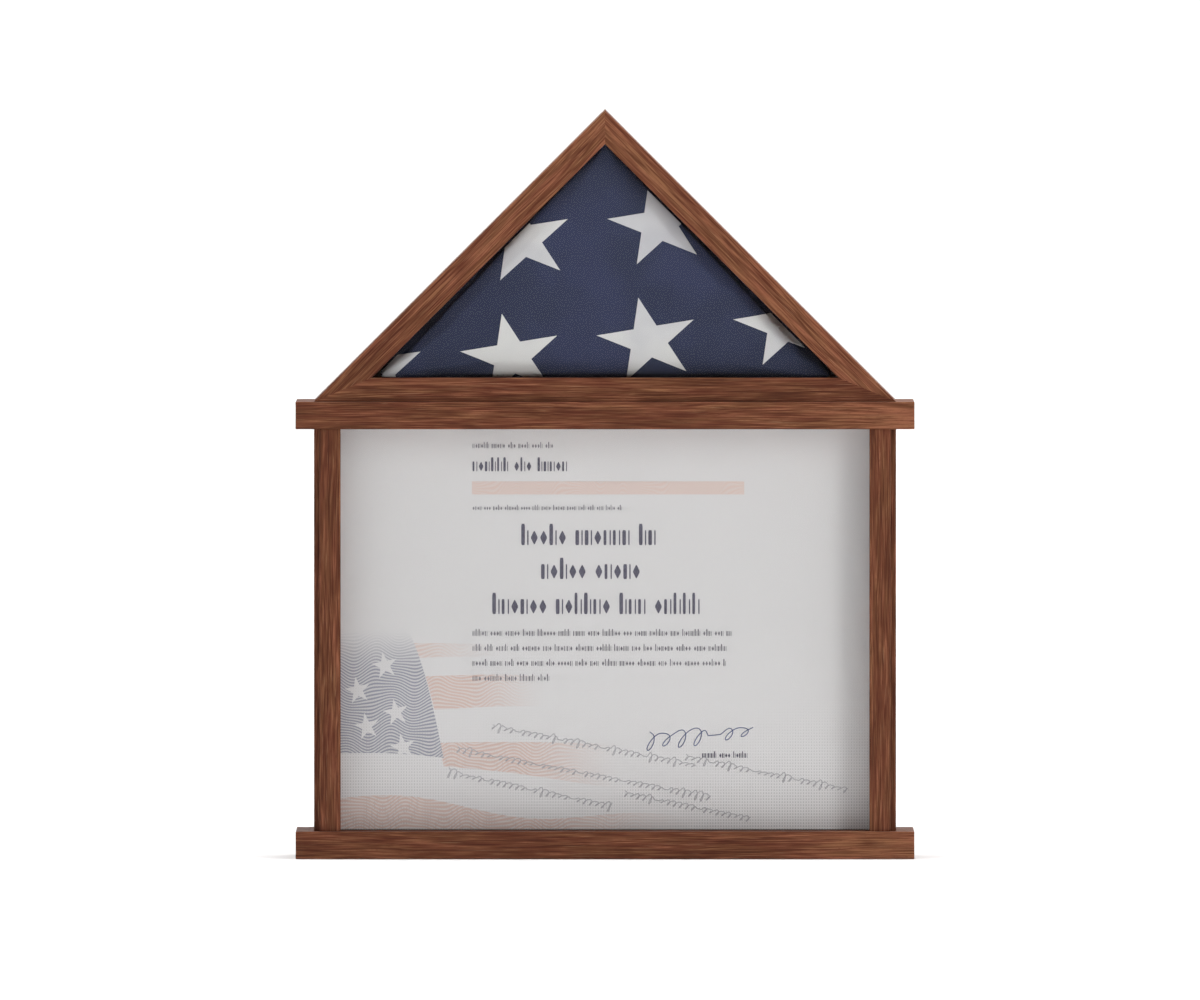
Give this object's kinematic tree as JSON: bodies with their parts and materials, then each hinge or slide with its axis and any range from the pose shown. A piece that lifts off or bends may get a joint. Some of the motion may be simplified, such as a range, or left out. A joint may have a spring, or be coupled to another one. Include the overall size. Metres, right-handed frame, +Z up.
{
  "type": "folded flag display case",
  "caption": "Wooden case with a glazed triangular upper storey for a folded flag and a glazed document box below, both opened from the back.",
  "frame": {"origin": "centre of the base rail's underside", "axes": "+Z up, -Y towards the viewer of the glazed front, +X to the viewer's right"},
  "size_m": [0.406, 0.088, 0.4909],
  "materials": {
    "walnut": "satin lacquer over stained wood, straight grain along each board",
    "poplar": "planed and unfinished, hidden inside the carrier",
    "hardboard": "pressed fibreboard, smooth face outwards",
    "clear_glass": "clear, polished",
    "printed_paper": "matt heavy paper, printed",
    "flag_cloth": "matt woven cloth, navy with white stars",
    "brass": "satin",
    "zinc_steel": "bright zinc plate"
  },
  "bodies": {
    "case": {"base_rail": "walnut", "shelf_rail": "walnut", "side_board_left": "walnut", "side_board_right": "walnut", "face_stile_left": "walnut", "face_stile_right": "walnut", "document_spacer_left": "walnut", "document_spacer_right": "walnut", "document_glazing": "clear_glass", "flag_frame_base": "walnut", "flag_frame_left": "walnut", "flag_frame_right": "walnut", "flag_glass_bead_base": "walnut", "flag_glass_bead_left": "walnut", "flag_glass_bead_right": "walnut", "flag_glazing": "clear_glass", "folded_flag": "flag_cloth", "turn_button_screw_document_lower_left": "brass", "turn_button_screw_document_lower_right": "brass", "turn_button_screw_document_upper_left": "brass", "turn_button_screw_document_upper_right": "brass", "turn_button_screw_flag_left": "brass", "turn_button_screw_flag_right": "brass", "turn_button_screw_flag_base": "brass", "base_screw_left_front": "zinc_steel", "base_screw_left_rear": "zinc_steel", "base_screw_right_front": "zinc_steel", "base_screw_right_rear": "zinc_steel", "shelf_screw_left_front": "zinc_steel", "shelf_screw_left_rear": "zinc_steel", "shelf_screw_right_front": "zinc_steel", "shelf_screw_right_rear": "zinc_steel", "flag_case_screw_left": "zinc_steel", "flag_case_screw_right": "zinc_steel"},
    "document_carrier": {"document_sheet": "printed_paper", "document_mount_board": "hardboard", "carrier_rib_left": "poplar", "carrier_rib_right": "poplar", "carrier_rib_bottom": "poplar", "carrier_rib_top": "poplar", "carrier_back_panel": "hardboard"},
    "flag_panel": {"flag_back_panel": "hardboard"},
    "button_document_lower_left": {"turn_button_document_lower_left": "brass"},
    "button_document_lower_right": {"turn_button_document_lower_right": "brass"},
    "button_document_upper_left": {"turn_button_document_upper_left": "brass"},
    "button_document_upper_right": {"turn_button_document_upper_right": "brass"},
    "button_flag_left": {"turn_button_flag_left": "brass"},
    "button_flag_right": {"turn_button_flag_right": "brass"},
    "button_flag_base": {"turn_button_flag_base": "brass"}
  },
  "joints": [
    {"name": "document_carrier_slide", "type": "slide", "parent": "case", "child": "document_carrier", "axis": [0, 1, 0], "range_m": [0, 0.065]},
    {"name": "flag_panel_slide", "type": "slide", "parent": "case", "child": "flag_panel", "axis": [0, 1, 0], "range_m": [0, 0.03]},
    {"name": "document_lower_left_turn", "type": "hinge", "parent": "case", "child": "button_document_lower_left", "pos_m": [-0.1825, 0.0409, 0.084], "axis": [0, -1, 0], "range_deg": [0, 90]},
    {"name": "document_lower_right_turn", "type": "hinge", "parent": "case", "child": "button_document_lower_right", "pos_m": [0.1825, 0.0409, 0.084], "axis": [0, 1, 0], "range_deg": [0, 90]},
    {"name": "document_upper_left_turn", "type": "hinge", "parent": "case", "child": "button_document_upper_left", "pos_m": [-0.1825, 0.0409, 0.216], "axis": [0, -1, 0], "range_deg": [0, 90]},
    {"name": "document_upper_right_turn", "type": "hinge", "parent": "case", "child": "button_document_upper_right", "pos_m": [0.1825, 0.0409, 0.216], "axis": [0, 1, 0], "range_deg": [0, 90]},
    {"name": "flag_left_turn", "type": "hinge", "parent": "case", "child": "button_flag_left", "pos_m": [-0.09128, 0.0409, 0.39483], "axis": [0, -1, 0], "range_deg": [0, 90]},
    {"name": "flag_right_turn", "type": "hinge", "parent": "case", "child": "button_flag_right", "pos_m": [0.09128, 0.0409, 0.39483], "axis": [0, 1, 0], "range_deg": [0, 90]},
    {"name": "flag_base_turn", "type": "hinge", "parent": "case", "child": "button_flag_base", "pos_m": [0, 0.0409, 0.30355], "axis": [0, -1, 0], "range_deg": [0, 90]}
  ]
}
